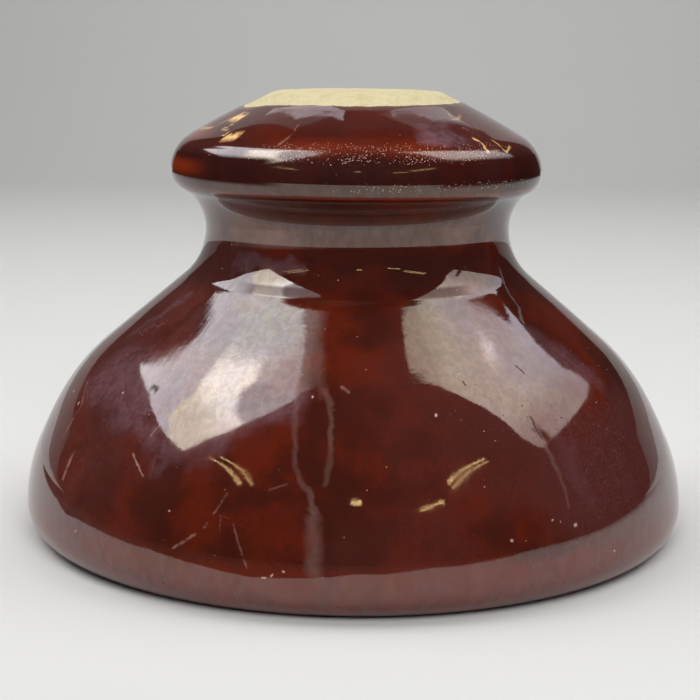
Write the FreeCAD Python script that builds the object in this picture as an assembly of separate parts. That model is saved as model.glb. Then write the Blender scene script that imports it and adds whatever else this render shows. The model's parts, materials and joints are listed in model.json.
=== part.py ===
import FreeCAD, Part
import math
import os

# Porcelain pin insulator: one fired piece, turned about its upright axis.
# Millimetres and degrees. The axis is Z, and the skirt's rim stands on Z = 0.

# Whole piece
height = 105.5
skirt_radius = 79.5
head_radius = 44.3
neck_radius = 36.5

# Levels: bead below the crown, neck below the bead, petticoat above the rim
bead_drop = 19.1
neck_drop = 13.4
petticoat_level = 13.0

# Head: flat crown, cone and bead
crown_flat_radius = 18.4
crown_edge_radius = 6.0
bead_upper_radius = 9.8
bead_lower_radius = 4.9

# Tie groove round the neck, below the point where the bead runs into it
groove_lower_radius = 15.5

# Skirt, from the neck down to the rim
shoulder_slope = 40.0
shoulder_radius = 48.0
skirt_side_slope = 64.0
skirt_side_radius = 36.0
rim_radius = 7.7
rim_inner_radius = 6.3
skirt_wall = 14.0

# Rain cavity and petticoat inside the skirt
cavity_round_radius = 7.0
petticoat_root_radius = 33.0
petticoat_outer_radius = 30.5
petticoat_lip_radius = 5.8

# Pin hole for a one-inch pin, threaded four turns to the inch
thread_crest_radius = 13.0
thread_depth = 1.4
thread_root_width = 1.2
thread_flank_angle = 27.0
thread_pitch = 25.4 / 4
thread_turns = 6.5
entry_clearance = 0.4
hole_end_radius = 6.0
crown_thickness = 27.5

# Places that follow from the sizes above
bead_level = height - bead_drop
neck_level = bead_level - neck_drop
hole_top = height - crown_thickness
crest_top = hole_top - hole_end_radius
thread_half_mouth = thread_root_width / 2 + thread_depth * math.tan(math.radians(thread_flank_angle))
thread_start = crest_top - thread_half_mouth - thread_turns * thread_pitch
crest_bottom = thread_start + thread_half_mouth
entry_radius = thread_crest_radius + thread_depth + entry_clearance
entry_top = crest_bottom - (entry_radius - thread_crest_radius)


def normal_at(slope):
    """Outward normal (r, z) of a surface that falls outwards at this slope."""
    angle = math.radians(90 - slope)
    return math.cos(angle), math.sin(angle)


def along(normal, point):
    """Distance of a point (r, z) from the axis foot, measured along a normal."""
    return normal[0] * point[0] + normal[1] * point[1]


def meet(normal_a, distance_a, normal_b, distance_b):
    """Point (r, z) that lies at the given distance along both normals."""
    turn = normal_a[0] * normal_b[1] - normal_a[1] * normal_b[0]
    r = (distance_a * normal_b[1] - distance_b * normal_a[1]) / turn
    z = (normal_a[0] * distance_b - normal_b[0] * distance_a) / turn
    return r, z


def common_normal(first, second):
    """Normal of the straight line that touches two rounds, travelled clockwise.

    A round is (r, z, radius). Its radius is positive where the porcelain is
    inside the round, negative where the air is, and zero at a sharp corner.
    """
    dr = second[0] - first[0]
    dz = second[1] - first[1]
    share = (first[2] - second[2]) / math.hypot(dr, dz)
    angle = math.atan2(dz, dr) + math.acos(max(-1.0, min(1.0, share)))
    return math.cos(angle), math.sin(angle)


def touch(round_, normal):
    """Point of a round where its outward normal is the given one."""
    return FreeCAD.Vector(round_[0] + round_[2] * normal[0], 0, round_[1] + round_[2] * normal[1])


def straight_run(first, second, normal):
    """Ends of the straight line between two rounds, as one shared point where they meet."""
    shortest = 1e-4
    start = touch(first, normal)
    end = touch(second, normal)
    if start.distanceToPoint(end) < shortest:
        return start, start
    return start, end


def halfway(round_, normal_in, normal_out):
    """Point of a round halfway between the normals at which the outline meets and leaves it."""
    middle_r = normal_in[0] + normal_out[0]
    middle_z = normal_in[1] + normal_out[1]
    length = math.hypot(middle_r, middle_z)
    return touch(round_, (middle_r / length, middle_z / length))


def smooth_outline(rounds):
    """Edges of the outline that runs over the rounds, with straight lines between."""
    pairs = list(zip(rounds, rounds[1:]))
    normals = [common_normal(first, second) for first, second in pairs]
    runs = [straight_run(*pair, normal) for pair, normal in zip(pairs, normals)]
    edges = []
    for index, (start, end) in enumerate(runs):
        if index > 0 and rounds[index][2] != 0:
            middle = halfway(rounds[index], normals[index - 1], normals[index])
            edges.append(Part.Arc(runs[index - 1][1], middle, start).toShape())
        if start != end:
            edges.append(Part.LineSegment(start, end).toShape())
    return edges


def head_rounds():
    """Crown, cone and bead."""
    return [
        (0, height, 0),
        (crown_flat_radius, height - crown_edge_radius, crown_edge_radius),
        (head_radius - bead_upper_radius, bead_level, bead_upper_radius),
        (head_radius - bead_lower_radius, bead_level, bead_lower_radius),
    ]


def groove_upper_radius():
    """Radius of the groove's upper round, which the bead runs into with no straight stretch."""
    inset = head_radius - bead_lower_radius - neck_radius
    rise = bead_level - neck_level
    return (inset ** 2 + rise ** 2 - bead_lower_radius ** 2) / (2 * (bead_lower_radius + inset))


def groove_rounds():
    """Tie groove: a tight upper round and a wider lower one, both hollow."""
    upper = groove_upper_radius()
    return [
        (neck_radius + upper, neck_level, -upper),
        (neck_radius + groove_lower_radius, neck_level, -groove_lower_radius),
    ]


def skirt_centres():
    """Centres (r, z) of the shoulder round and of the skirt side round."""
    side = (skirt_radius - skirt_side_radius, rim_radius)
    groove = (neck_radius + groove_lower_radius, neck_level)
    shoulder_normal = normal_at(shoulder_slope)
    side_normal = normal_at(skirt_side_slope)
    shoulder = meet(
        shoulder_normal, along(shoulder_normal, groove) - groove_lower_radius - shoulder_radius,
        side_normal, along(side_normal, side) + skirt_side_radius - shoulder_radius)
    return shoulder, side


def skirt_rounds():
    """Outside of the skirt and its rounded rim."""
    shoulder, side = skirt_centres()
    rim_centre = skirt_radius - rim_radius
    return [
        (*shoulder, shoulder_radius),
        (*side, skirt_side_radius),
        (rim_centre, rim_radius, rim_radius),
        (rim_centre, rim_inner_radius, rim_inner_radius),
    ]


def cavity_rounds():
    """Inside of the skirt, an even wall from its outside, up to the cavity's round top."""
    shoulder, side = skirt_centres()
    roof_normal = normal_at(shoulder_slope)
    roof = along(roof_normal, shoulder) + shoulder_radius - skirt_wall - cavity_round_radius
    top_r = petticoat_root_radius + cavity_round_radius
    top_z = (roof - roof_normal[0] * top_r) / roof_normal[1]
    return [
        (*side, skirt_wall - skirt_side_radius),
        (*shoulder, skirt_wall - shoulder_radius),
        (top_r, top_z, -cavity_round_radius),
    ]


def pin_hole_rounds():
    """Petticoat lip, tapered entry, thread crest and the hole's rounded blind end."""
    lip_r = petticoat_outer_radius - petticoat_lip_radius
    return [
        (lip_r, petticoat_level + petticoat_lip_radius, petticoat_lip_radius),
        (entry_radius, entry_top, 0),
        (thread_crest_radius, crest_bottom, 0),
        (thread_crest_radius - hole_end_radius, crest_top, -hole_end_radius),
        (0, hole_top, 0),
    ]


def turned_body():
    """Half section of the porcelain, turned once round the axis."""
    rounds = head_rounds() + groove_rounds() + skirt_rounds() + cavity_rounds() + pin_hole_rounds()
    edges = smooth_outline(rounds)
    axis_edge = Part.LineSegment(FreeCAD.Vector(0, 0, hole_top), FreeCAD.Vector(0, 0, height)).toShape()
    section = Part.Face(Part.Wire(edges + [axis_edge]))
    return section.revolve(FreeCAD.Vector(0, 0, 0), FreeCAD.Vector(0, 0, 1), 360)


def thread_groove():
    """Right-handed groove that the pin's thread screws into, with sloping flanks and a flat root."""
    path = Part.makeHelix(thread_pitch, thread_turns * thread_pitch, thread_crest_radius)
    flank = math.tan(math.radians(thread_flank_angle))
    inner_half = thread_half_mouth + thread_depth * flank
    corners = [
        FreeCAD.Vector(thread_crest_radius - thread_depth, 0, -inner_half),
        FreeCAD.Vector(thread_crest_radius + thread_depth, 0, -thread_root_width / 2),
        FreeCAD.Vector(thread_crest_radius + thread_depth, 0, thread_root_width / 2),
        FreeCAD.Vector(thread_crest_radius - thread_depth, 0, inner_half),
    ]
    section = Part.makePolygon(corners + corners[:1])
    groove = Part.Wire(path).makePipeShell([section], True, True)
    groove.translate(FreeCAD.Vector(0, 0, thread_start))
    return groove


def insulator():
    """The whole fired piece."""
    return turned_body().cut(thread_groove()).Solids[0]


os.makedirs("parts", exist_ok=True)
porcelain = insulator()
porcelain.exportStep("parts/insulator.step")
print("volume in cm3:", round(porcelain.Volume / 1000, 1))
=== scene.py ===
import json
import math

import bpy
import numpy as np
from bpy.props import FloatProperty, FloatVectorProperty, PointerProperty
from mathutils import Matrix, Vector

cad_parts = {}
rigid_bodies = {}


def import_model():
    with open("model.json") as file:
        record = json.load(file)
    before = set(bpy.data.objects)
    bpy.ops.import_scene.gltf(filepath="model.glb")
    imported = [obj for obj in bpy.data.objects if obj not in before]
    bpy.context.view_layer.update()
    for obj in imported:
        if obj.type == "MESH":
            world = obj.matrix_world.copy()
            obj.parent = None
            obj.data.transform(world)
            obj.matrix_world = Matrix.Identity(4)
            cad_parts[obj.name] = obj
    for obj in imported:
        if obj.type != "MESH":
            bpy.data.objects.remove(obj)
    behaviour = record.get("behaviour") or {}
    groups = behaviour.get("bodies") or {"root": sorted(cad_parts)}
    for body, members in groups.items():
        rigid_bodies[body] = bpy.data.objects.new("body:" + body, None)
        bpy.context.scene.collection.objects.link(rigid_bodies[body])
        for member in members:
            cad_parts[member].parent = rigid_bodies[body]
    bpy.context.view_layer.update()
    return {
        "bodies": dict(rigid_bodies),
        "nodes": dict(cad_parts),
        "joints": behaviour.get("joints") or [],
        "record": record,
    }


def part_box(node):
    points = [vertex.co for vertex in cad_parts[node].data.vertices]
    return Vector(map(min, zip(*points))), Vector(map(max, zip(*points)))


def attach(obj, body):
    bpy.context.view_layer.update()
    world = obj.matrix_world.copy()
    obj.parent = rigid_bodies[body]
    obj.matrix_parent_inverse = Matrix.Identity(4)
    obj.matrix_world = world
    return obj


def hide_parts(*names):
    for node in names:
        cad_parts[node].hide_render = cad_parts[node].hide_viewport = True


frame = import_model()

bl_info = {
    "name": "Porcelain Pin Insulator",
    "version": (1, 0, 0),
    "blender": (4, 5, 0),
    "location": "View3D > Sidebar > Insulator",
    "description": "Builds a glazed porcelain pin insulator, its stage, its lamps and its camera",
    "category": "Object",
}

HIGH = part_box("insulator")[1]
MM = 0.001
SURFACE = "fired_body"

# Radius in millimetres at which the way round the body is measured from its front
WAY_RADIUS = 70.0

# Plain sizes of the half section, in metres
CROWN_FLAT, CROWN_EDGE = 18.4 * MM, 6 * MM
BEAD_UPPER, BEAD_LOWER = 9.8 * MM, 4.9 * MM
GROOVE_LOWER = 15.5 * MM
SHOULDER, SKIRT_SIDE = 48 * MM, 36 * MM
RIM_OUTER, RIM_INNER = 7.7 * MM, 6.3 * MM
WALL, CAVITY_TOP, PETTICOAT_ROOT = 14 * MM, 7 * MM, 33 * MM
LIP_RADIUS, LIP_CENTRE = 5.8 * MM, (24.7 * MM, 18.8 * MM)
ENTRY_EDGE, CREST_LOW = (14.8 * MM, 28.925 * MM), 30.725 * MM
HOLE_END, CROWN_THICKNESS = 6 * MM, 27.5 * MM


def size(name, text, value):
    """A length in metres, given here in millimetres."""
    return FloatProperty(name=name, description=text, default=value * MM, unit="LENGTH", precision=5)


def colour(name, text, red, green, blue):
    """A colour given as 0 to 255 on a screen, kept as linear light."""
    return FloatVectorProperty(
        name=name, description=text, subtype="COLOR", min=0.0, max=1.0,
        default=tuple(linear(v) for v in (red, green, blue)))


def linear(value):
    """Screen value 0 to 255 as linear light 0 to 1."""
    v = value / 255
    return v / 12.92 if v <= 0.04045 else ((v + 0.055) / 1.055) ** 2.4


class BodySizes(bpy.types.PropertyGroup):
    """Sizes of the fired body."""

    height: FloatProperty(name="Height", description="Rim to crown", default=HIGH.z, unit="LENGTH")
    skirt: FloatProperty(name="Skirt radius", description="Widest radius", default=HIGH.x, unit="LENGTH")
    head: size("Head radius", "Widest radius of the bead", 44.3)
    neck: size("Neck radius", "Tie groove at its narrowest", 36.5)
    bead_level: size("Bead level", "Height of the bead's widest point", 86.4)
    neck_level: size("Neck level", "Height of the narrowest point", 73.0)
    glaze_line: size("Glaze line", "Height at which the glaze ends below the crown", 102.8)
    glaze_step: size("Glaze step", "How far the bare crown lies below the glaze", 0.35)
    waviness: size("Waviness", "Depth of the unevenness left by turning and firing", 0.06)
    belly: size("Belly", "Fullness of the skirt side, which is straight in the plain outline", 0.15)
    cone_belly: size("Cone belly", "Fullness of the cone below the crown", 0.22)
    lean: size("Lean", "Greatest sideways shift of the body, which dried unevenly", 0.4)
    thread_crest: size("Thread crest radius", "Radius of the pin hole between thread grooves", 13.0)
    thread_depth: size("Thread depth", "Depth of the thread groove", 1.4)
    thread_pitch: size("Thread pitch", "Rise of the thread in one turn", 6.35)


class GlazeColours(bpy.types.PropertyGroup):
    """Colours of the glaze, of its marks and of the bare porcelain, some of which paint highlights, haze,
    reflections and shade.
    """

    deep: colour("Deep brown", "Glaze where it lies thick", 58, 20, 12)
    ember: colour("Ember", "Glaze where it lies thinner and redder", 86, 26, 11)
    plum: colour("Plum", "Clouds of cooler glaze", 76, 35, 31)
    thin: colour("Thin glaze", "Glaze drawn thin over the tight rounds of the bead", 134, 46, 16)
    # Painted haze of reflected light that lightens the left side, where the bright left lamp and the backdrop
    # shine in the glaze
    sheen_veil: colour("Bloom", "Dull bloom on the weathered side", 96, 52, 48)
    # Painted haze of reflected light beside the highlights
    highlight_haze: colour("Haze", "Bluish haze beside the brightest places", 118, 88, 98)
    # Painted reflection of the pale floor: grey streaks round the tie groove
    floor_reflection: colour("Groove dirt", "Grey dirt smeared round the tie groove", 118, 99, 91)
    rim: colour("Rim glaze", "Redder glaze round the rim", 98, 30, 14)
    run: colour("Runs", "Milky streaks where the glaze ran", 112, 80, 74)
    # Dark of chips and burst bubbles; also painted shade below the neck and a painted dark reflection on the
    # bead's face
    scratch: colour("Scratches", "Fine scratches and dried drops", 168, 128, 116)
    pit_and_shade: colour("Pits", "Dirt in chips and burst bubbles", 34, 16, 16)
    # Whitish specks, and painted sparkles of reflected light on the bead
    speck_and_sparkle: colour("Specks", "Grit fired into the glaze", 236, 196, 178)
    # Painted glints: reflections of warm gold lamps painted on the cone and bead
    gold_glint: colour("Lustre flashes", "Golden flashes where the glaze boiled", 240, 196, 132)
    bare: colour("Bare porcelain", "Unglazed crown", 196, 185, 148)
    bare_dirt: colour("Stained porcelain", "Dirt in the crown's hollows", 176, 160, 116)


# Surface of the body


def outline_rounds(body):
    """Rounds (r, z, radius) that the half outline runs over, from the crown round to the pin hole's end.

    A radius is positive where the porcelain is inside the round, negative where the
    air is, and zero at a sharp corner.
    """
    top, skirt, head, neck = body.height, body.skirt, body.head, body.neck
    bead, waist = body.bead_level, body.neck_level
    inset, rise = head - BEAD_LOWER - neck, bead - waist
    upper = (inset ** 2 + rise ** 2 - BEAD_LOWER ** 2) / (2 * (BEAD_LOWER + inset))
    side = np.array([skirt - SKIRT_SIDE, RIM_OUTER])
    groove = np.array([neck + GROOVE_LOWER, waist])
    shoulder_normal, side_normal = unit(math.radians(50)), unit(math.radians(26))
    shoulder = np.linalg.solve(
        np.array([shoulder_normal, side_normal]),
        np.array([shoulder_normal @ groove - GROOVE_LOWER - SHOULDER, side_normal @ side + SKIRT_SIDE - SHOULDER]))
    cavity = PETTICOAT_ROOT + CAVITY_TOP
    roof = shoulder_normal @ shoulder + SHOULDER - WALL - CAVITY_TOP
    roof_level = (roof - shoulder_normal[0] * cavity) / shoulder_normal[1]
    hole_top = top - CROWN_THICKNESS
    crest = body.thread_crest
    return np.array([
        (0, top, 0),
        (CROWN_FLAT, top - CROWN_EDGE, CROWN_EDGE),
        (head - BEAD_UPPER, bead, BEAD_UPPER),
        (head - BEAD_LOWER, bead, BEAD_LOWER),
        (neck + upper, waist, -upper),
        (*groove, -GROOVE_LOWER),
        (*shoulder, SHOULDER),
        (*side, SKIRT_SIDE),
        (skirt - RIM_OUTER, RIM_OUTER, RIM_OUTER),
        (skirt - RIM_OUTER, RIM_INNER, RIM_INNER),
        (*side, WALL - SKIRT_SIDE),
        (*shoulder, WALL - SHOULDER),
        (cavity, roof_level, -CAVITY_TOP),
        (*LIP_CENTRE, LIP_RADIUS),
        (*ENTRY_EDGE, 0),
        (crest, CREST_LOW, 0),
        (crest - HOLE_END, hole_top - HOLE_END, -HOLE_END),
        (0, hole_top, 0),
    ])


def unit(angle):
    """Direction (r, z) at an angle above the radius."""
    return np.array([math.cos(angle), math.sin(angle)])


def sampled_outline(rounds, straight_step, round_step, angle_step):
    """Points (r, z) and outward normals along the outline.

    The line that touches two rounds has its normal at the direction from one centre
    to the next, turned by the arc cosine of the difference of the radii over the
    distance. Each round contributes the arc between its two normals, and each line
    the straight between two rounds.
    """
    centre, radius = rounds[:, :2], rounds[:, 2]
    gap = np.diff(centre, axis=0)
    length = np.hypot(gap[:, 0], gap[:, 1])
    angle = np.arctan2(gap[:, 1], gap[:, 0]) + np.arccos(np.clip(-np.diff(radius) / length, -1, 1))
    normal = np.stack([np.cos(angle), np.sin(angle)], axis=1)
    points, normals = [], []
    for index in range(len(gap)):
        if index > 0 and radius[index] != 0:
            turn = (angle[index] - angle[index - 1] + math.pi) % (2 * math.pi) - math.pi
            arc = abs(turn * radius[index])
            count = max(2, int(math.ceil(max(arc / round_step, abs(turn) / angle_step))))
            way = angle[index - 1] + turn * np.arange(count) / count
            facing = np.stack([np.cos(way), np.sin(way)], axis=1)
            points.append(centre[index] + radius[index] * facing)
            normals.append(facing)
        start = centre[index] + radius[index] * normal[index]
        end = centre[index + 1] + radius[index + 1] * normal[index]
        run = math.dist(start, end)
        count = max(1, int(math.ceil(run / straight_step))) if run > 1e-7 else 0
        share = (np.arange(count) / max(count, 1))[:, None]
        points.append(start + (end - start) * share)
        normals.append(np.repeat(normal[index][None], count, axis=0))
    points.append(centre[-1:])
    normals.append(normal[-1:])
    return np.concatenate(points), np.concatenate(normals)


def waves(theta, along, seed, count, around, lengthwise):
    """Sum of smooth waves that close round the body, between about -1 and 1.

    Each wave is the cosine of a whole number times the azimuth, plus a number times
    the way along the outline, plus a phase.
    """
    draw = np.random.default_rng(seed)
    total = np.zeros(np.broadcast(theta, along).shape)
    for _ in range(count):
        turns = draw.integers(1, around + 1)
        pace = draw.uniform(-lengthwise, lengthwise)
        total = total + np.cos(turns * theta + pace * along + draw.uniform(0, 2 * math.pi))
    return total / math.sqrt(count * 2)


def ease(value, low, high):
    """0 at low, 1 at high, smooth between."""
    share = np.clip((value - low) / (high - low), 0, 1)
    return share * share * (3 - 2 * share)


def bell(value, middle, reach):
    """Bell curve: 1 at the middle, 0.37 at the reach from it."""
    return np.exp(-((value - middle) / reach) ** 2)


def from_front(theta):
    """Azimuth in radians from the front of the body, growing to the right."""
    return (theta + 1.5 * math.pi) % (2 * math.pi) - math.pi


def glaze_line(theta, body):
    """Height in metres at which the glaze ends.

    A ring that tilts a little up to the right, dips where a drop ran down on the left,
    and wobbles slowly and quickly.
    """
    azimuth = from_front(theta)
    tilt = 0.2 * np.sin(azimuth)
    dip = -1.2 * bell(azimuth, -1.4, 0.42)
    slow = 0.05 * waves(theta, np.zeros(1), 11, 5, 5, 0)
    quick = 0.09 * waves(theta, np.zeros(1), 12, 9, 40, 0)
    return body.glaze_line + (tilt + dip + slow + quick) * MM


def sideways(level, body):
    """Shift along X at each height: a few swings, each smoothed over its neighbours; none at the rim."""
    heights = np.array([0, 14, 24, 34, 44, 54, 64, 74, 80, 86, 94, 99, 102, 106]) * MM
    share = np.array([0, -0.2, -0.3, -0.15, 0.3, 0.8, 1.0, 0.7, 0.2, -0.3, -0.6, -0.5, 0.4, 0.6])
    fine = np.linspace(0, 106, 213) * MM
    width = 17
    padded = np.pad(np.interp(fine, heights, share), width // 2, mode="edge")
    swing = np.convolve(padded, np.ones(width) / width, mode="valid")
    return body.lean * np.interp(level, fine, swing)


def depth_below_outline(azimuth, along, level, above, on_outside, body):
    """How far each point lies inside the plain outline, in metres.

    Slow waves left by turning and firing; the glaze's thickness, with small chips, where
    the crown is bare; on the skirt's side a wide bell curve of the level less a narrow
    one; and outwards, on the cone, one bell curve. All fade out at the axis and the rim.
    """
    crown = level > 90 * MM
    bare = np.clip(0.5 + above / (0.5 * MM), 0, 1) * crown
    uneven = 0.5 + 0.5 * np.clip(waves(azimuth, along, 5, 26, 7, 220), -1, 1)
    chips = np.clip(waves(azimuth, along, 6, 30, 22, 900) - 0.75, 0, 1)
    side, cone = 26.8 * MM, 98.7 * MM
    depth = body.waviness * uneven + bare * (body.glaze_step + 0.5 * MM * chips)
    depth = depth + body.belly * (bell(level, side, 19.8 * MM) - bell(level, side, 4.95 * MM)) * on_outside
    depth = depth - body.cone_belly * bell(level, cone, 3.36 * MM) * crown
    return depth * np.clip(along / (3 * MM), 0, 1) * np.clip(level / (1.2 * MM), 0, 1)


def thread_cut(azimuth, radius, level, body):
    """Depth of the thread's groove in the pin hole.

    The groove's middle rises one pitch a turn. The depth is a smooth step of the height
    above or below it, and fades out at both ends of the thread.
    """
    first, last, run_out = 31.9 * MM, 71.0 * MM, 2 * MM
    half_root, half_mouth = 0.6 * MM, 1.35 * MM
    turns = (level - first) / body.thread_pitch - azimuth / (2 * math.pi)
    from_middle = np.abs(turns - np.round(turns)) * body.thread_pitch
    groove = 1 - ease(from_middle, half_root, half_mouth)
    fade = np.clip((level - first) / run_out, 0, 1) * np.clip((last - level) / run_out, 0, 1)
    return body.thread_depth * groove * fade * (radius < body.thread_crest + 0.1 * MM)


def closed_faces(rows, around):
    """Faces that join rings of points, row after row, and close both ends with the two points after them."""
    row, column = np.meshgrid(np.arange(rows - 1), np.arange(around), indexing="ij")
    here = (row * around + column).ravel()
    beside = (row * around + (column + 1) % around).ravel()
    quads = np.stack([here, here + around, beside + around, beside], axis=1)
    spoke = np.arange(around)
    turned = (spoke + 1) % around
    base = (rows - 1) * around
    top = np.stack([np.full(around, rows * around), spoke, turned], axis=1)
    end = np.stack([np.full(around, rows * around + 1), base + turned, base + spoke], axis=1)
    return quads.tolist() + top.tolist() + end.tolist()


def fired_surface(body):
    """Vertices, faces and height above the glaze line of the whole closed surface.

    The outline is turned round the axis on a grid of outline points by azimuths. Every
    point is then moved against its outward normal by its depth below the outline, away
    from the axis by the thread's groove, and sideways by the lean of its height.
    """
    around, spacing = 288, 1.1 * MM
    point, normal = sampled_outline(outline_rounds(body), spacing, spacing, math.radians(9))
    ring = point[:, 0] > 1e-9
    azimuth = (np.arange(around) * 2 * math.pi / around)[None, :]
    radius, level = point[ring, 0][:, None], point[ring, 1][:, None]
    out_r, out_z = normal[ring, 0][:, None], normal[ring, 1][:, None]
    step = np.hypot(np.diff(point[ring, 0], prepend=0), np.diff(point[ring, 1], prepend=body.height))
    along = np.cumsum(step)[:, None]
    on_outside = along < along[level.argmin()]

    above = level - glaze_line(azimuth, body)
    depth = depth_below_outline(azimuth, along, level, above, on_outside, body)
    r = radius - depth * out_r + thread_cut(azimuth, radius, level, body)
    z = level - depth * out_z
    shift = sideways(level, body) * on_outside
    rings = np.stack([r * np.cos(azimuth) + shift, r * np.sin(azimuth), z + 0 * azimuth], axis=2)
    poles = np.array([[float(shift[0, 0]), 0, point[0, 1] - body.glaze_step], [0, 0, point[-1, 1]]])
    vertices = np.concatenate([rings.reshape(-1, 3), poles])
    height_above = np.concatenate([above.ravel(), [body.height - body.glaze_line, -1.0]])
    return vertices, closed_faces(len(rings), around), height_above


def keep(mesh, name, kind, field, values):
    """Keeps one value, vector or colour for each vertex in the mesh."""
    made = mesh.attributes.new(name, kind, "POINT")
    made.data.foreach_set(field, np.asarray(values, np.float32).ravel())


def new_mesh_object(name, vertices, faces):
    """A smooth-shaded object at the origin, with its place in its mesh."""
    mesh = bpy.data.meshes.new(name)
    mesh.from_pydata(np.asarray(vertices).tolist(), [], faces)
    mesh.polygons.foreach_set("use_smooth", np.ones(len(mesh.polygons), bool))
    mesh.update()
    made = bpy.data.objects.new(name, mesh)
    bpy.context.scene.collection.objects.link(made)
    return made


# Node trees


class Tree:
    """Adds nodes to one node tree. An input is a socket to link or a plain value."""

    def __init__(self, tree):
        self.tree = tree

    def node(self, kind, inputs=None, **settings):
        """A node with its settings and its inputs, by name or number."""
        made = self.tree.nodes.new(kind)
        for name, value in settings.items():
            setattr(made, name, value)
        for name, value in (inputs or {}).items():
            self.feed(made.inputs[name], value)
        return made

    def feed(self, socket, value):
        """Links a socket to an input, or sets its value."""
        if isinstance(value, bpy.types.NodeSocket):
            self.tree.links.new(value, socket)
        else:
            socket.default_value = value

    def math(self, operation, *values, clamp=False):
        made = self.node("ShaderNodeMath", dict(enumerate(values)), operation=operation, use_clamp=clamp)
        return made.outputs[0]

    def scaled(self, vector, factors):
        """The vector with each of its parts multiplied by a factor."""
        return self.node("ShaderNodeVectorMath", {0: vector, 1: factors}, operation="MULTIPLY").outputs[0]

    def product(self, *values):
        """All the values multiplied together."""
        total = values[0]
        for value in values[1:]:
            total = self.math("MULTIPLY", total, value)
        return total

    def largest(self, *values):
        total = values[0]
        for value in values[1:]:
            total = self.math("MAXIMUM", total, value)
        return total

    def noise(self, vector, scale, detail=2.0, roughness=0.5, distortion=0.0):
        made = self.node("ShaderNodeTexNoise", {
            "Vector": vector, "Scale": scale, "Detail": detail,
            "Roughness": roughness, "Distortion": distortion})
        return made.outputs["Fac"]

    def step(self, value, low, high):
        """0 below low, 1 above high, smooth between; low may be the larger."""
        made = self.node("ShaderNodeMapRange", {
            "Value": value, "From Min": low, "From Max": high, "To Min": 0.0, "To Max": 1.0},
            interpolation_type="SMOOTHSTEP")
        return made.outputs["Result"]

    def band(self, value, low, high, soft):
        """1 between low and high, 0 outside, with soft edges."""
        rise, fall = self.step(value, low - soft, low + soft), self.step(value, high + soft, high - soft)
        return self.product(rise, fall)

    def blend(self, factor, first, second):
        """The first colour, turned into the second by the factor."""
        made = self.node("ShaderNodeMix", data_type="RGBA")
        self.feed(made.inputs[0], factor)
        self.feed(made.inputs[6], rgba(first))
        self.feed(made.inputs[7], rgba(second))
        return made.outputs[2]


def rgba(value):
    """A socket as it is, or three numbers as an opaque colour."""
    return value if isinstance(value, bpy.types.NodeSocket) else (*value[:3], 1.0)


def new_group(name, inputs, outputs):
    """A shader node group with named inputs and outputs, and its group input and output nodes."""
    tree = bpy.data.node_groups.new(name, "ShaderNodeTree")
    for label, kind, default in inputs:
        socket = tree.interface.new_socket(label, in_out="INPUT", socket_type=kind)
        socket.default_value = default
    for label, kind in outputs:
        tree.interface.new_socket(label, in_out="OUTPUT", socket_type=kind)
    graph = Tree(tree)
    return graph, graph.node("NodeGroupInput").outputs, graph.node("NodeGroupOutput").inputs


VECTOR, FLOAT = "NodeSocketVector", "NodeSocketFloat"


def stroke_group():
    """Mask of the nearest stroke, from a place's frame in it.

    Frame holds the distance across the stroke, the distance along it from its middle and
    half its length; Mark holds its strength and its width. The distance from the stroke
    is the length of the part across and the part beyond its end, and the mask is a
    smooth step of it. Shake moves the place across the stroke.
    """
    graph, given, out = new_group("worn_stroke", [
        ("Frame", VECTOR, (0, 0, 0)), ("Mark", VECTOR, (0, 1, 0)), ("Shake", FLOAT, 0.0)], [("Mask", FLOAT)])
    frame = graph.node("ShaderNodeSeparateXYZ", {"Vector": given["Frame"]}).outputs
    mark = graph.node("ShaderNodeSeparateXYZ", {"Vector": given["Mark"]}).outputs
    across = graph.math("ADD", frame["X"], given["Shake"])
    along = graph.math("ADD", frame["Y"], given["Shake"])
    beyond = graph.math("MAXIMUM", graph.math("SUBTRACT", graph.math("ABSOLUTE", along), frame["Z"]), 0.0)
    away = graph.math("SQRT", graph.math("ADD", graph.product(across, across), graph.product(beyond, beyond)))
    graph.feed(out["Mask"], graph.product(mark["X"], graph.step(away, mark["Y"], 0.0)))
    return graph.tree


def speck_group():
    """Mask of scattered specks: cells whose random value is below the share, near their centres."""
    graph, given, out = new_group("scattered_specks", [
        ("Place", VECTOR, (0, 0, 0)), ("Scale", FLOAT, 1.0), ("Size", FLOAT, 0.2),
        ("Share", FLOAT, 0.5)], [("Mask", FLOAT)])
    cell = graph.node("ShaderNodeTexVoronoi", {"Vector": given["Place"], "Scale": given["Scale"]})
    value = graph.node("ShaderNodeSeparateColor", {"Color": cell.outputs["Color"]})
    kept = graph.math("LESS_THAN", value.outputs[0], given["Share"])
    grown = graph.product(given["Size"], graph.math("MULTIPLY_ADD", value.outputs[1], 0.8, 0.4))
    near = graph.step(cell.outputs["Distance"], grown, graph.product(grown, 0.4))
    graph.feed(out["Mask"], graph.product(kept, near))
    return graph.tree


# Strokes on the glaze as (way round, height) in millimetres, then the width and the strength

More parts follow.
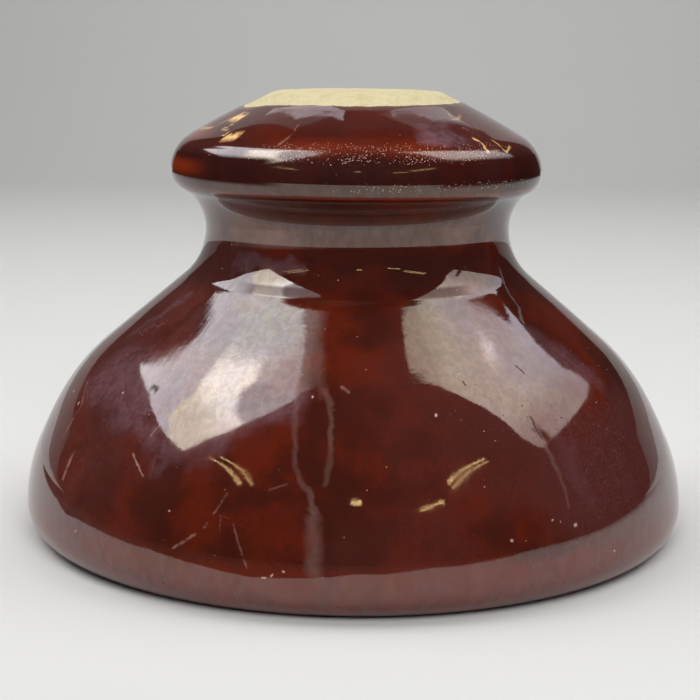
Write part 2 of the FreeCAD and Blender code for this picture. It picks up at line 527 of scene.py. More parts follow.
STROKES = {
"run_left": [
    ((-13.8, 44.6), (-12.0, 32.6), 1.0, 0.5), ((-12.0, 32.6), (-10.7, 28.5), 0.8, 0.5),
    ((-10.7, 28.5), (-8.2, 26.0), 0.8, 0.6), ((-8.2, 26.0), (-7.4, 21.5), 1.1, 0.8),
    ((-7.4, 21.5), (-7.0, 11.4), 2.4, 0.8),
    ((42.4, 34.7), (44.2, 27.0), 0.9, 0.7), ((44.2, 27.0), (44.6, 20.6), 0.7, 0.6),
],
"run_right": [
    ((-10.0, 52.0), (-8.4, 46.5), 2.4, 0.4), ((-8.4, 46.5), (-5.3, 42.5), 1.3, 0.7),
    ((-5.3, 42.5), (-4.7, 34.7), 0.9, 0.7), ((-4.7, 34.7), (-5.6, 28.2), 1.0, 0.5),
],
"scratch": [
    ((-82.6, 39.4), (-76.5, 35.0), 0.3, 0.6), ((-76.5, 35.0), (-78.1, 27.8), 0.28, 0.6),
    ((-69.7, 25.9), (-69.9, 20.6), 0.8, 0.65), ((-49.6, 29.7), (-45.0, 26.1), 0.35, 0.8),
    ((-24.9, 25.2), (-27.0, 21.2), 0.35, 0.4), ((-22.7, 19.7), (-19.3, 10.9), 0.3, 0.35),
    ((-30.2, 16.8), (-34.5, 13.3), 0.45, 0.45), ((-16.5, 26.7), (-13.1, 28.0), 0.3, 0.25),
    ((-3.3, 45.9), (-1.3, 44.9), 0.4, 0.35), ((-44.6, 37.6), (-46.6, 33.8), 0.35, 0.4),
    ((-28.6, 98.7), (-28.6, 96.5), 0.35, 0.5), ((-28.6, 96.5), (-31.5, 94.4), 0.7, 0.5),
],
"drop": [((-16.5, 9.5), (-15.9, 9.5), 0.3, 0.9)] + [
    ((way, level), (way + 0.1, level), width, 0.9) for way, level, width in (
        (-12.6, 11.1, 0.4), (-87.5, 36.2, 0.5), (-79.1, 35.1, 0.5), (-62.5, 40.1, 0.35), (-10.0, 44.0, 0.35),
        (45.2, 17.0, 0.6), (30.2, 16.1, 0.5), (55.5, 9.3, 0.4), (18.4, 40.7, 0.45), (-61.2, 11.2, 0.3),
        (-36.6, 20.5, 0.3), (39.8, 18.9, 0.3))
],
"chip": [
    ((-53.4, 42.5), (-51.6, 42.0), 0.9, 1.0), ((41.4, 38.8), (42.4, 34.7), 0.55, 0.9),
    ((45.7, 47.8), (46.4, 46.6), 0.6, 0.8), ((27.8, 46.1), (28.0, 45.6), 0.4, 0.8),
    ((72.0, 65.3), (69.0, 62.6), 0.7, 0.8), ((67.5, 61.0), (65.5, 58.4), 0.7, 0.9),
    ((64.5, 57.6), (61.0, 55.2), 0.6, 0.8),
],
# Painted reflections of warm gold lamps on the cone and the bead's upper round
"gold_glint": [
    ((-78.5, 99.5), (-70.0, 99.4), 1.5, 1.0), ((-61.0, 95.5), (-54.5, 95.9), 1.4, 1.0),
    ((-100.0, 96.3), (-83.5, 96.9), 0.5, 0.6), ((-71.5, 96.9), (-66.4, 96.9), 0.35, 0.5),
    ((53.0, 95.8), (55.2, 95.4), 0.5, 0.8), ((55.2, 95.4), (54.9, 94.5), 0.5, 0.9),
    ((54.9, 94.5), (53.7, 93.5), 0.6, 0.9), ((53.7, 93.5), (55.2, 93.1), 0.5, 0.9),
    ((63.7, 95.2), (64.6, 94.3), 0.45, 0.8), ((64.6, 94.3), (64.4, 93.3), 0.45, 0.8),
    ((64.4, 93.3), (65.4, 92.8), 0.45, 0.8), ((65.4, 92.8), (71.8, 93.9), 0.4, 0.7),
    ((56.5, 100.7), (54.3, 99.9), 0.4, 0.35),
    ((54.3, 99.9), (58.0, 99.8), 0.4, 0.35), ((58.0, 99.8), (65.0, 100.6), 0.4, 0.3),
],
# Painted haze of reflected light round the highlights; the same strokes also set the coat
"sheen_veil": [
    ((-76.0, 42.0), (-55.0, 41.0), 9.0, 0.6), ((-60.0, 38.0), (-45.0, 34.0), 6.0, 0.5),
    ((-40.0, 31.0), (-14.0, 42.0), 4.5, 0.5), ((57.0, 53.0), (70.0, 44.0), 6.0, 0.4),
    ((46.0, 36.0), (50.0, 22.0), 3.0, 0.15), ((-58.0, 66.5), (-22.0, 67.5), 2.6, 0.6),
    ((-84.0, 50.0), (-74.0, 58.0), 3.0, 0.4),
    ((28.0, 97.4), (60.0, 98.2), 2.6, 0.8),
]}


class Places:
    """Where each point of the surface is, in millimetres, and how the glaze varies there."""

    def __init__(self, graph):
        place = graph.node("ShaderNodeTexCoord").outputs["Object"]
        self.solid = graph.scaled(place, (1000.0, 1000.0, 1000.0))
        x, y, self.level = graph.node("ShaderNodeSeparateXYZ", {"Vector": self.solid}).outputs[:3]
        angle = graph.math("ARCTAN2", x, graph.math("MULTIPLY", y, -1.0))
        self.way = graph.math("MULTIPLY", angle, WAY_RADIUS)
        across = graph.math("SQRT", graph.math("ADD", graph.product(x, x), graph.product(y, y)))
        self.cloud = graph.noise(self.solid, 0.07, 4.0, 0.6)
        self.grain = graph.noise(self.solid, 0.6, 4.0, 0.65)
        self.outside = graph.step(across, 35.2, 35.7)
        self.graph = graph

    def patch(self, levels, ways, strength):
        """Mask between two levels and two ways round, each with the softness of its ends."""
        graph = self.graph
        return graph.product(graph.band(self.level, *levels), graph.band(self.way, *ways), strength)


def shake(graph, place, pace, reach):
    """Noise about zero, up to the reach in millimetres, that makes a stroke's edge ragged."""
    return graph.math("MULTIPLY_ADD", graph.noise(place, pace, 2.0), 2 * reach, -reach)


def stroke_frames(way, level, table):
    """Frame and mark of the nearest stroke at each place, for the worn_stroke group.

    The strength falls to nothing a little beyond the stroke's edge, so that frames of
    two strokes never mix.
    """
    start, end = np.array([row[0] for row in table]), np.array([row[1] for row in table])
    width, strength = np.array([row[2:] for row in table]).T
    length = np.hypot(*(end - start).T)
    run = (end - start) / length[:, None]
    place = np.stack([way, level], axis=1)[:, None] - (start + end) / 2
    along = (place * run).sum(axis=2)
    across = place[..., 1] * run[:, 0] - place[..., 0] * run[:, 1]
    away = np.hypot(across, np.maximum(np.abs(along) - length / 2, 0)) - width
    best = away.argmin(axis=1)
    each = np.arange(len(best))
    near = strength[best] * np.clip((2.6 - away[each, best]) / 0.8, 0, 1)
    frame = np.stack([across[each, best], along[each, best], length[best] / 2], axis=1)
    return frame, np.stack([near, width[best], 0 * near], axis=1)


def strokes(graph, group, name, shake):
    """Mask of the strokes whose frames are kept in the mesh under a name."""
    made = graph.node("ShaderNodeGroup", node_tree=group)
    for label, kind in (("Frame", "_frame"), ("Mark", "_mark")):
        kept = graph.node("ShaderNodeAttribute", attribute_name=name + kind)
        graph.feed(made.inputs[label], kept.outputs["Vector"])
    graph.feed(made.inputs["Shake"], shake)
    return made.outputs["Mask"]


def specks(graph, group, place, scale, spread, share):
    """Mask of scattered specks."""
    made = graph.node("ShaderNodeGroup", node_tree=group)
    for name, value in (("Place", place), ("Scale", scale), ("Size", spread), ("Share", share)):
        graph.feed(made.inputs[name], value)
    return made.outputs["Mask"]


def clouded_glaze(graph, at, line, colours):
    """Colour of the glaze before its marks, with painted haze, a painted reflection of the floor and painted shade
    in it, and the mask of the painted haze strokes on it.
    """
    slow = graph.noise(at.solid, 0.022, 3.0, 0.55)
    base = graph.blend(graph.step(at.cloud, 0.38, 0.66), colours.deep, colours.ember)
    cooler_right = graph.math("MULTIPLY_ADD", graph.band(at.way, 25.0, 175.0, 25.0), 0.6, 0.4)
    base = graph.blend(graph.product(graph.step(slow, 0.44, 0.6), cooler_right), base, colours.plum)
    base = graph.blend(graph.product(graph.step(at.grain, 0.5, 0.75), 0.2), base, colours.ember)

    # Painted sheen: the left side below the bead turned towards a greyish haze of reflected light, in soft fibres
    left = graph.product(graph.band(at.way, -180.0, -55.0, 20.0), graph.step(at.level, 84.0, 70.0))
    fibres = graph.step(graph.noise(at.solid, 0.28, 4.0, 0.7, 1.5), 0.4, 0.62)
    soft_fibres = graph.math("MULTIPLY_ADD", fibres, 0.4, 0.4)
    # Strokes of painted bluish haze of reflected light round the highlights
    sheen_veil = strokes(graph, line, "sheen_veil", shake(graph, at.solid, 0.12, 6.0))
    base = graph.blend(graph.product(left, soft_fibres, 0.8), base, colours.sheen_veil)
    base = graph.blend(graph.product(sheen_veil, soft_fibres), base, colours.highlight_haze)

    streaks = graph.noise(graph.scaled(at.solid, (1.0, 1.0, 0.12)), 0.2, 4.0, 0.55)
    streaks = graph.math("MULTIPLY_ADD", streaks, 1.2, 0.1)
    base = graph.blend(graph.product(graph.step(at.level, 13.5, 10.0), at.outside, streaks), base, colours.rim)

    # Painted reflection of the pale floor: a grey streaky band round the tie groove, lower towards the left
    leftwards = graph.math("MAXIMUM", graph.math("MULTIPLY", at.way, -1.0), 0.0)
    leftwards = graph.product(leftwards, graph.step(at.way, -210.0, -130.0))
    tilted = graph.math("MULTIPLY_ADD", leftwards, 0.021, at.level)
    groove = graph.product(graph.band(tilted, 72.1, 76.2, 0.4), at.outside)
    base = graph.blend(graph.product(groove, graph.step(at.cloud, 0.35, 0.65), 0.45), base, colours.floor_reflection)

    base = graph.blend(graph.product(graph.band(at.level, 98.0, 103.0, 1.2), 0.6), base, colours.plum)
    # Painted shade and dark reflection: the bead's face darkened where it reflects the dark room, and a band below
    # the neck darkened where shade falls
    bead_front = graph.product(graph.band(at.level, 84.5, 92.5, 1.5), 0.7)
    below_neck = graph.product(graph.band(at.level, 61.0, 70.5, 2.0), at.outside, 0.4)
    base = graph.blend(graph.largest(bead_front, below_neck), base, colours.pit_and_shade)
    under_bead = graph.product(graph.band(at.level, 83.5, 84.0, 0.4), at.outside, 0.55)
    bead_left = at.patch((87.0, 90.0, 1.2), (-180.0, -67.0, 12.0), 0.6)
    cone_front = at.patch((93.5, 95.6, 1.5), (-36.0, 30.0, 10.0), 0.35)
    cone_left = at.patch((94.5, 97.0, 1.0), (-180.0, -79.0, 11.0), 0.7)
    thin = graph.largest(under_bead, bead_left, cone_front, cone_left)
    base = graph.blend(thin, base, colours.thin)

    # Painted haze of reflected light in thin curls beside the right highlight
    curls = graph.math("ABSOLUTE", graph.math("SUBTRACT", graph.noise(at.solid, 0.32, 3.0, 0.6, 2.0), 0.5))
    wear_and_haze = at.patch((16.0, 42.0, 4.0), (46.0, 86.0, 6.0), 0.3)
    base = graph.blend(graph.product(graph.step(curls, 0.012, 0.004), wear_and_haze), base, colours.highlight_haze)
    return base, sheen_veil


def marked_glaze(graph, at, line, scatter, base, colours):
    """Colour with runs, scratches, specks, painted sparkles, painted gold glints and chips, and masks of the runs
    and scratches, the specks and sparkles, and the chips.
    """
    loose = shake(graph, at.solid, 0.35, 0.9)
    tight = shake(graph, at.solid, 1.6, 0.3)
    run = graph.largest(*[strokes(graph, line, name, loose) for name in ("run_left", "run_right")])
    base = graph.blend(graph.product(run, graph.math("MULTIPLY_ADD", at.grain, 0.8, 0.25)), base, colours.run)
    scratch = strokes(graph, line, "scratch", tight)
    base = graph.blend(graph.product(scratch, graph.step(at.grain, 0.3, 0.6)), base, colours.scratch)

    drop = graph.product(strokes(graph, line, "drop", tight), 0.7)
    # Painted sparkles: tiny highlights painted on the bead's top and along its lower band
    upper = at.patch((91.2, 94.9, 0.7), (-34.0, 62.0, 12.0), 0.75)
    lower = at.patch((85.2, 86.9, 0.5), (-4.0, 70.0, 10.0), 0.5)
    patches = graph.math("MULTIPLY_ADD", graph.noise(at.solid, 0.25, 3.0), 1.6, -0.1)
    painted_sparkle = specks(graph, scatter, at.solid, 3.2, 0.36, graph.product(graph.largest(upper, lower), patches))
    stray = graph.product(specks(graph, scatter, at.solid, 0.45, 0.08, graph.product(at.outside, 0.3)), 0.5)
    speck_and_sparkle = graph.largest(painted_sparkle, stray, drop)
    base = graph.blend(speck_and_sparkle, base, colours.speck_and_sparkle)

    # Painted gold glints, reflections of warm lamps
    gold_glint = graph.product(strokes(graph, line, "gold_glint", tight), graph.step(at.grain, 0.32, 0.5))
    base = graph.blend(gold_glint, base, colours.gold_glint)
    pocked = at.patch((34.0, 45.0, 3.0), (22.0, 52.0, 5.0), 0.4)
    chip = strokes(graph, line, "chip", loose)
    pit_and_shade = graph.largest(chip, specks(graph, scatter, at.solid, 0.9, 0.22, pocked))
    base = graph.blend(pit_and_shade, base, colours.pit_and_shade)
    return base, graph.largest(run, scratch), speck_and_sparkle, pit_and_shade


def bare_crown(graph, at, scatter, base, colours):
    """Colour with the unglazed crown, and the crown's mask."""
    above = graph.node("ShaderNodeAttribute", attribute_name="above_glaze_line").outputs["Fac"]
    above = graph.math("ADD", above, graph.math("MULTIPLY_ADD", graph.noise(at.solid, 1.4, 3.0), 0.4, -0.2))
    bare = graph.step(above, -0.08, 0.08)
    stain = graph.product(graph.step(graph.noise(at.solid, 0.3, 4.0, 0.7), 0.45, 0.7), 0.55)
    crown = graph.blend(stain, colours.bare, colours.bare_dirt)
    crown = graph.blend(specks(graph, scatter, at.solid, 0.35, 0.14, 0.35), crown, colours.bare_dirt)
    return graph.blend(bare, base, crown), bare


def lustre_tint(graph, at):
    """Tint of the shine: warm and cool patches, dulled in drawn-out patches of wear."""
    warm, cool, wear_and_haze = (1.0, 0.95, 0.84), (0.94, 0.92, 1.0), (0.76, 0.74, 0.72)
    hue = graph.noise(at.solid, 0.08, 2.0, 0.5, 1.0)
    tint = graph.blend(graph.step(hue, 0.5, 0.62), (1.0, 0.99, 0.98), warm)
    tint = graph.blend(graph.step(hue, 0.5, 0.38), tint, cool)
    drawn_down = graph.scaled(at.solid, (1.0, 1.0, 0.45))
    polished = graph.step(graph.noise(drawn_down, 0.55, 5.0, 0.72, 0.6), 0.36, 0.62)
    return graph.blend(polished, tint, wear_and_haze)


def glaze_material(colours):
    """Brown lustrous glaze over white porcelain, bare on the crown; its colour also holds painted glints,
    sparkles, haze, a painted floor reflection and painted shade.
    """
    material = bpy.data.materials.new("brown_glaze")
    material.use_nodes = True
    graph = Tree(material.node_tree)
    shader = material.node_tree.nodes["Principled BSDF"].inputs
    at = Places(graph)
    line, scatter = stroke_group(), speck_group()
    base, sheen_veil = clouded_glaze(graph, at, line, colours)
    base, wear_and_haze, speck_and_sparkle, pit_and_shade = marked_glaze(graph, at, line, scatter, base, colours)
    base, bare = bare_crown(graph, at, scatter, base, colours)
    graph.feed(shader["Base Color"], base)

    rough = graph.math("MULTIPLY_ADD", graph.step(at.cloud, 0.45, 0.75), 0.05, 0.035)
    rough = graph.math("MULTIPLY_ADD", graph.largest(wear_and_haze, graph.product(sheen_veil, 0.5)), 0.12, rough)
    rough = graph.math("MULTIPLY_ADD", graph.band(at.level, 87.5, 94.5, 1.0), 0.06, rough)
    dull = graph.largest(bare, graph.product(pit_and_shade, 0.9), graph.product(speck_and_sparkle, 0.5))
    rough = graph.node("ShaderNodeMix", {0: dull, 2: rough, 3: 0.8}, data_type="FLOAT").outputs[0]
    graph.feed(shader["Roughness"], rough)

    # Shine, which a film of grime lessens below the neck and beside the bead's front
    shader["IOR"].default_value = 1.9
    below_neck = at.patch((61.4, 63.4, 0.35), (-46.0, 46.0, 6.0), 0.8)
    aside = graph.band(graph.math("ABSOLUTE", at.way), 29.0, 98.0, 6.0)
    film = graph.product(graph.band(at.level, 86.0, 91.9, 0.5), aside, 1.19)
    shine = graph.math("MULTIPLY_ADD", graph.largest(bare, below_neck, film), -0.42, 0.5)
    graph.feed(shader["Specular IOR Level"], shine)
    graph.feed(shader["Specular Tint"], lustre_tint(graph, at))
    shader["Coat Roughness"].default_value = 0.3
    graph.feed(shader["Coat Weight"], graph.product(graph.math("SUBTRACT", 1.0, bare), sheen_veil, 0.25))

    # Relief: orange peel on the glaze, coarser on the bare crown
    peel = graph.product(graph.noise(at.solid, 0.22, 2.0, 0.5), 0.014)
    ripple = graph.noise(at.solid, 1.1, 3.0, 0.65)
    height = graph.math("MULTIPLY_ADD", ripple, graph.math("MULTIPLY_ADD", bare, 0.5, 0.0035), peel)
    bump = graph.node("ShaderNodeBump", {"Height": height, "Distance": MM, "Strength": 1.0})
    graph.feed(shader["Normal"], bump.outputs["Normal"])
    return material


def plain_material(name, base, roughness):
    """One even colour for the stage."""
    material = bpy.data.materials.new(name)
    material.use_nodes = True
    shader = material.node_tree.nodes["Principled BSDF"]
    shader.inputs["Base Color"].default_value = rgba(base)
    shader.inputs["Roughness"].default_value = roughness
    return material


# Stage, lamps and camera

SWEEP_FRONT, SWEEP_HALF_WIDTH, SWEEP_HEIGHT = -1.6, 1.8, 2.35
PAPER = (0.60, 0.60, 0.592)


def grid_faces(rows, columns):
    """Faces of a grid of points, row after row."""
    row, column = np.meshgrid(np.arange(rows - 1), np.arange(columns - 1), indexing="ij")
    first = (row * columns + column).ravel()
    return np.stack([first, first + 1, first + 1 + columns, first + columns], axis=1).tolist()


def sweep_surface():
    """Vertices and faces of the paper sweep: flat, then a quarter round, then upright."""
    flat_end, bend, rise = 0.9, 0.6, SWEEP_HEIGHT
    turn = np.linspace(0, math.pi / 2, 25)
    flat = np.linspace(SWEEP_FRONT, flat_end, 40)
    y = np.concatenate([flat, flat_end + bend * np.sin(turn)[1:], [flat_end + bend]])
    z = np.concatenate([0 * flat, bend * (1 - np.cos(turn))[1:], [rise]])
    x = np.linspace(-SWEEP_HALF_WIDTH, SWEEP_HALF_WIDTH, 31)
    grid = np.stack(np.broadcast_arrays(x[None], y[:, None], z[:, None]), axis=2)
    return grid.reshape(-1, 3), grid_faces(len(y), len(x))


def ruled_surface(first, second):
    """Vertices and faces of the surface of straight lines from each point of one line to the other's."""
    share = np.linspace(0, 1, 9)[:, None, None]
    grid = np.asarray(first)[None] * (1 - share) + np.asarray(second)[None] * share
    return grid.reshape(-1, 3), grid_faces(*grid.shape[:2])


def panel_surface(side, rows):
    """Upright lamp panel at one X: rows of height, front Y and back Y, in millimetres."""
    table = np.array(rows) * MM
    height = np.geomspace(table[0, 0], table[-1, 0], 90)
    height = np.union1d(height, table[:, 0])[:, None]
    share = np.linspace(0, 1, 41)[None]
    front = np.interp(height, table[:, 0], table[:, 1])
    back = np.interp(height, table[:, 0], table[:, 2])
    y = front * (1 - share) + back * share
    grid = np.stack(np.broadcast_arrays(side * MM, y, height), axis=2)
    return grid.reshape(-1, 3), grid_faces(*grid.shape[:2])


def mixed(first, second, share):
    """Two lights mixed at each point: the first where the share is 0, the second where it is 1."""
    return first + (second - first) * share[:, None]


def left_light(y, z):
    """Light of the left panel.

    Low down it is bright and creamy in front of a slanting edge and paler behind it.
    Higher up it is lilac in front and white behind, and above that a brownish veil. A dark
    wedge cuts into its back border.
    """
    edge = np.interp(z, [0.43, 0.49, 0.70, 0.80, 0.86, 0.94], [-0.10, -0.01, 0.062, 0.141, 0.228, 0.24])
    rise = ease(z, 0.55, 0.95)
    cream = mixed(np.array([1.0, 0.93, 0.77]), np.array([1.0, 0.96, 0.91]), rise) * (5.2 + 3.2 * rise)[:, None]
    low = mixed(np.array([3.6, 3.55, 3.75]), cream, ease(edge - y, -0.012, 0.012))
    high = mixed(np.array([2.75, 2.75, 2.9]), np.array([4.0, 4.1, 4.1]), ease(y, 0.0, 0.13))
    veil = np.array([1.0, 0.88, 0.84]) * (1.25 - 1.05 * ease(z, 2.4, 3.7))[:, None]
    top_of_cream = np.interp(
        y, [-0.218, -0.06, 0.063, 0.10, 0.185, 0.227], [0.90, 1.06, 1.25, 1.40, 1.07, 0.94])
    top_of_high = np.interp(y, [-0.201, -0.022, 0.029, 0.085, 0.122], [2.30, 2.44, 2.42, 2.28, 2.04])
    lamp = mixed(low, high, ease(z - top_of_cream, -0.05, 0.07))
    lamp = mixed(lamp, veil, ease(z - top_of_high, -0.05, 0.08))
    below = np.interp(y, [0.376, 0.392, 0.421, 0.461, 0.504], [0.732, 0.678, 0.626, 0.566, 0.514])
    over = np.interp(y, [0.376, 0.428, 0.493, 0.525], [0.732, 0.702, 0.673, 0.651])
    wedge = ease(z - below, -0.006, 0.006) * ease(over - z, -0.006, 0.006) * (y > 0.376)
    return mixed(lamp, 0.02 * lamp, wedge)


def right_light(y, z):
    """Light of the right panel: warm in front, cooler behind, with a small glow and a dark notch."""
    warm = mixed(np.array([1.0, 0.88, 0.80]), np.array([1.0, 0.94, 0.78]), ease(z, 0.95, 1.6))
    tint = mixed(warm, np.array([0.96, 0.93, 1.0]), ease(y, 0.12, 0.40))
    strength = 3.2 - 0.7 * ease(y, 0.15, 0.35) - ease(z, 1.3, 2.0)
    strength = strength * (0.58 + 0.42 * ease(z, 0.44, 0.72))
    from_y, from_z = y - 0.25, z - 0.923
    along, aside = 0.42 * from_y - 0.91 * from_z, 0.91 * from_y + 0.42 * from_z
    glow = bell(along, 0, 0.06) * bell(aside, 0, 0.022)
    notch = ease(y, -0.105, -0.095) * ease(y, -0.058, -0.068) * ease(z, 0.50, 0.47)
    light = tint * (strength + 2.8 * glow)[:, None]
    return mixed(light, 0.02 * light, notch)


# Rows of the lamp panels: height, front Y and back Y, in millimetres
LEFT_ROWS = [
    (411, -200, -110), (420, -224, -50), (430, -230, 10), (466, -245, 136), (488, -252, 200),
    (500, -256, 400), (510, -260, 517), (540, -270, 520), (591, -288, 525), (658, -312, 530),
    (701, -328, 530), (760, -338, 525), (850, -353, 440), (1000, -370, 360), (1163, -388, 290),
    (1465, -405, 230), (1976, -385, 178), (2300, -300, 160), (2452, -240, 150), (3800, -170, 120)]
RIGHT_ROWS = [
    (378, -10, 300), (385, -135, 375), (400, -148, 425), (440, -165, 455), (477, -176, 470),
    (513, -178, 480), (560, -176, 468), (608, -168, 462), (640, -160, 505), (670, -156, 515),
    (692, -152, 440), (782, -146, 400), (890, -132, 350), (1067, -113, 310), (1434, -30, 225),
    (1657, 20, 180), (2063, 8, 130), (2270, 0, 95), (2561, -15, 45), (2600, 0, 30)]


def add_glow(name, vertices, faces, light, one_sided=False):
    """Glowing surface that shows only in reflections; light gives each point its radiance.

    A one-sided surface can't be seen from its back.
    """
    made = new_mesh_object(name, vertices, faces)
    material = bpy.data.materials.new(name)
    material.use_nodes = True
    tree = material.node_tree
    tree.nodes.clear()
    graph = Tree(tree)
    opaque = np.column_stack([light, np.ones(len(light))])
    keep(made.data, "radiance", "FLOAT_COLOR", "color", opaque)
    given = graph.node("ShaderNodeAttribute", attribute_name="radiance").outputs["Color"]
    shown = graph.node("ShaderNodeEmission", {"Color": given, "Strength": 1.0}).outputs[0]
    if one_sided:
        clear = graph.node("ShaderNodeBsdfTransparent").outputs[0]
        back = graph.node("ShaderNodeNewGeometry").outputs["Backfacing"]
        shown = graph.node("ShaderNodeMixShader", {0: back, 1: shown, 2: clear}).outputs[0]
    graph.node("ShaderNodeOutputMaterial", {"Surface": shown})
    made.data.materials.append(material)
    show_only_to(made, "glossy")


def show_only_to(made, kept):
    """Hides an object from every kind of ray but one."""
    for name in ("camera", "diffuse", "glossy", "shadow", "transmission", "volume_scatter"):
        setattr(made, "visible_" + name, name == kept)


def add_lamp(name, centre, across, along, face, radiance, tint):
    """Rectangular lamp of a given brightness.

    across and along are the two edges of the rectangle as vectors, and the lamp
    shines to the side that face points to.
    """
    across, along = Vector(across), Vector(along)
    light = bpy.data.lights.new(name, "AREA")
    light.shape = "RECTANGLE"
    light.size, light.size_y = across.length, along.length
    light.energy = radiance * math.pi * across.length * along.length
    light.color = tint
    back = -Vector(face).normalized()
    x_axis = across.normalized()
    y_axis = back.cross(x_axis).normalized()
    turn = Matrix((x_axis, y_axis, back)).transposed().to_4x4()
    made = bpy.data.objects.new(name, light)
    made.matrix_world = Matrix.Translation(Vector(centre)) @ turn
    made.visible_camera = False
    bpy.context.scene.collection.objects.link(made)
    return made


def direction(azimuth, elevation):
    """Unit vector; azimuth 0 is towards the camera and grows to the right."""
    a, e = math.radians(azimuth), math.radians(elevation)
    return Vector((math.sin(a) * math.cos(e), -math.cos(a) * math.cos(e), math.sin(e)))


def add_strip(name, start, end, thickness, radiance):
    """Thin far lamp between two directions, seen only in reflections."""
    distance = 2.5
    first, last = direction(*start) * distance, direction(*end) * distance
    middle, along = (first + last) / 2, last - first
    across = along.cross(middle).normalized() * 2 * distance * math.tan(math.radians(thickness / 2))
    made = add_lamp(name, SEEN_FROM + middle, along, across, -middle, radiance, GOLD)
    made.visible_diffuse = False


# Far lamps as two directions (azimuth, elevation), thickness, all in degrees, and radiance
FAR_LAMPS = [
    ((-60.1, 35.1), (-43.4, 32.2), 0.35, 9.0), ((-56.2, 37.1), (-38.5, 33.1), 0.35, 9.0),
    ((-1.0, 33.3), (3.1, 33.3), 0.8, 8.0), ((23.7, 30.3), (33.5, 31.1), 0.6, 8.0),
    ((36.5, 34.4), (55.3, 37.2), 0.4, 9.0), ((37.8, 33.2), (56.2, 35.8), 0.35, 8.0),
]
GOLD = (1.0, 0.72, 0.32)
SEEN_FROM = Vector((0, 0, 0.05))

# Windows behind the piece: lower and upper edge as directions (azimuth, elevation), and light
BACK_WINDOWS = [
    ("back_window_left", [(-159.5, 36.0), (-174.0, 36.0)], [(-159.5, 50.5), (-174.0, 59.5)], (1.35, 1.33, 1.42)),
    ("back_window_right", [(157.0, 34.0), (165.5, 34.0)], [(157.0, 46.0), (165.5, 56.5)], (0.9, 0.92, 0.98)),
]

# Lamps that light the paper and the piece and show in no reflection: name, centre, the
# two edges, the way it faces, radiance and tint
SOFT_LAMPS = [
    ("left_window", (-0.585, 0.12, 1.7), (0, 0.62, 0), (0, 0, 2.7), (1, 0, 0), 3.4, (1.0, 1.0, 0.99)),
    ("right_window", (0.60, 0.12, 1.7), (0, 0.62, 0), (0, 0, 2.7), (-1, 0, 0), 2.6, (1.0, 0.99, 1.0)),
    ("front_window", (0.1, -1.1, 1.05), (1.1, 0, 0), (0, 0.5, 0.8), (0, 1, -0.72), 6.0, (1, 1, 1)),
    ("ceiling_window", (0.05, 0.5, 1.7), (0.9, 0, 0), (0, 0.9, 0), (0, 0, -1), 1.9, (1, 1, 1)),
]

# Edge of the bright paper as the piece reflects it, on the floor, in millimetres
PAPER_EDGE = [
    (-700, 1400), (-300, 330), (-241, 61), (-170, 0), (-196, -18), (-191, -50), (-159, -75), (-140, -102),
    (-78, -111), (-42, -109), (-12, -139), (0, -171), (26, -170), (88, -232), (144, -232), (330, -300),
    (800, -560), (1700, -900)]


class INSULATOR_OT_body(bpy.types.Operator):
    """Builds the fired porcelain body with its glaze"""

    bl_idname = "insulator.body"
    bl_label = "Fired body"

    def execute(self, context):
        vertices, faces, above = fired_surface(context.scene.insulator_body)
        body = new_mesh_object(SURFACE, vertices, faces)
        keep(body.data, "above_glaze_line", "FLOAT", "value", above / MM)
        way = np.arctan2(vertices[:, 0], -vertices[:, 1]) * WAY_RADIUS
        outside = np.arange(len(vertices)) < vertices[:, 2].argmin()
        for name, table in STROKES.items():
            frame, mark = stroke_frames(way, vertices[:, 2] / MM, table)
            mark[:, 0] *= outside
            keep(body.data, name + "_frame", "FLOAT_VECTOR", "vector", frame)
            keep(body.data, name + "_mark", "FLOAT_VECTOR", "vector", mark)
        body.data.materials.append(glaze_material(context.scene.insulator_colours))
        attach(body, "root")
        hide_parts("insulator")
        return {"FINISHED"}


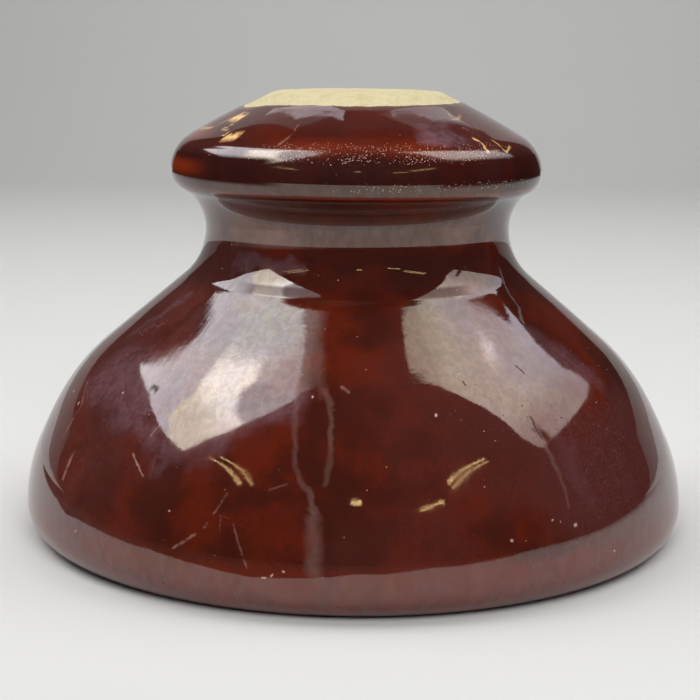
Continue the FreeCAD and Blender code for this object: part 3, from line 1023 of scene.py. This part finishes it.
class INSULATOR_OT_stage(bpy.types.Operator):
    """Adds the pale sweep, the lamps, the dim room and the camera"""

    bl_idname = "insulator.stage"
    bl_label = "Stage, lamps and camera"

    def execute(self, context):
        floor = new_mesh_object("sweep", *sweep_surface())
        floor.data.materials.append(plain_material("pale_paper", PAPER, 0.9))
        self.front_wall()
        for lamp in SOFT_LAMPS:
            add_lamp(*lamp).visible_glossy = False
        self.reflections()
        world = bpy.data.worlds.new("dim_room")
        world.use_nodes = True
        sky = world.node_tree.nodes["Background"]
        sky.inputs["Color"].default_value = (0.02, 0.02, 0.022, 1.0)
        context.scene.world = world
        self.camera(context)
        context.scene.view_settings.view_transform = "Standard"
        return {"FINISHED"}

    def front_wall(self):
        """Pale wall at the sweep's front edge, seen only by a camera that looks from behind."""
        x, y = SWEEP_HALF_WIDTH, SWEEP_FRONT
        foot, head = [[(-x, y, z), (x, y, z)] for z in (0.0, SWEEP_HEIGHT)]
        wall = new_mesh_object("front_wall", *ruled_surface(foot, head))
        wall.data.materials.append(plain_material("pale_wall", PAPER, 0.9))
        show_only_to(wall, "camera")

    def reflections(self):
        """Things that show only in the glaze: windows, far lamps, a glowing stand-in for the paper, and the dark
        round it.
        """
        for name, x, rows, light in (
                ("left_panel", -585, LEFT_ROWS, left_light), ("right_panel", 600, RIGHT_ROWS, right_light)):
            vertices, faces = panel_surface(x, rows)
            add_glow(name, vertices, faces, light(vertices[:, 1], vertices[:, 2]))
        for index, far_lamp in enumerate(FAR_LAMPS):
            add_strip(f"far_lamp_{index}", *far_lamp)
        for name, *edges, light in BACK_WINDOWS:
            places = [[SEEN_FROM + 1.7 * direction(*corner) for corner in edge] for edge in edges]
            vertices, faces = ruled_surface(*places)
            add_glow(name, vertices, faces, np.repeat([light], len(vertices), axis=0))
        self.paper_glow()
        self.dark_room()

    def paper_glow(self):
        """Glowing ring a little above the floor, seen only in reflections, that stands in for the reflected paper:
        warm in front, plain behind, seen from above.
        """
        around = np.radians(np.linspace(-180, 180, 73))
        ring = np.column_stack([np.sin(around), -np.cos(around), 0 * around])
        level = (0, 0, 0.018)
        vertices, faces = ruled_surface(1.5 * ring + level, 0.10 * ring + level)
        ahead = ease(-vertices[:, 1] / np.hypot(vertices[:, 0], vertices[:, 1]), -0.5, 0.4)
        light = mixed(np.array([0.66, 0.66, 0.655]), np.array([0.98, 0.87, 0.77]), ahead)
        add_glow("paper_glow", vertices, faces, light, one_sided=True)

    def dark_room(self):
        """Dark table from the paper's edge outwards, and dark walls at both sides of the sweep."""
        near = np.array([(x * MM, y * MM, 0.001) for x, y in PAPER_EDGE])
        far = near.copy()
        far[:, :2] *= 4.0 / np.hypot(near[:, 0], near[:, 1])[:, None]
        dark = [new_mesh_object("dark_table", *ruled_surface(near, far))]
        for inner, outer in ((-0.63, -3.0), (0.63, 3.0)):
            edges = [[(x, 1.42, z) for z in (0.10, 2.6)] for x in (inner, outer)]
            dark.append(new_mesh_object("dark_wall", *ruled_surface(*edges)))
        shade = plain_material("dark_room", (0.03, 0.03, 0.03), 1.0)
        for each in dark:
            each.data.materials.append(shade)
            show_only_to(each, "glossy")

    def camera(self, context):
        """Camera at the photograph's place: in front, above, tilted down and slightly rolled."""
        lens = bpy.data.cameras.new("camera")
        lens.sensor_width = 36.0
        lens.lens = 89.04
        lens.shift_x = -0.00726
        lens.shift_y = -0.00367
        lens.clip_start = 0.01
        made = bpy.data.objects.new("camera", lens)
        tilt_down, turned = 10.56, 0.56
        tilt = Matrix.Rotation(math.radians(90 - tilt_down), 4, "X")
        roll = Matrix.Rotation(math.radians(turned), 4, "Z")
        made.matrix_world = Matrix.Translation((0, -0.4157, 0.12062)) @ tilt @ roll
        context.scene.collection.objects.link(made)
        context.scene.camera = made


class INSULATOR_PT_panel(bpy.types.Panel):
    """Sizes, colours and operators of the insulator"""

    bl_label = "Pin insulator"
    bl_space_type = "VIEW_3D"
    bl_region_type = "UI"
    bl_category = "Insulator"

    def draw(self, context):
        scene = context.scene
        for title, group in (("Sizes", scene.insulator_body), ("Colours", scene.insulator_colours)):
            box = self.layout.box()
            box.label(text=title)
            for name in group.bl_rna.properties.keys():
                if name not in ("rna_type", "name"):
                    box.prop(group, name)
        for operator in (INSULATOR_OT_body, INSULATOR_OT_stage):
            self.layout.operator(operator.bl_idname)


CLASSES = (BodySizes, GlazeColours, INSULATOR_OT_body, INSULATOR_OT_stage, INSULATOR_PT_panel)


def register():
    for each in CLASSES:
        bpy.utils.register_class(each)
    bpy.types.Scene.insulator_body = PointerProperty(type=BodySizes)
    bpy.types.Scene.insulator_colours = PointerProperty(type=GlazeColours)


def unregister():
    del bpy.types.Scene.insulator_colours
    del bpy.types.Scene.insulator_body
    for each in reversed(CLASSES):
        bpy.utils.unregister_class(each)


def main():
    register()
    bpy.ops.insulator.body()
    bpy.ops.insulator.stage()
    bpy.context.view_layer.update()


if __name__ == "__main__":
    main()
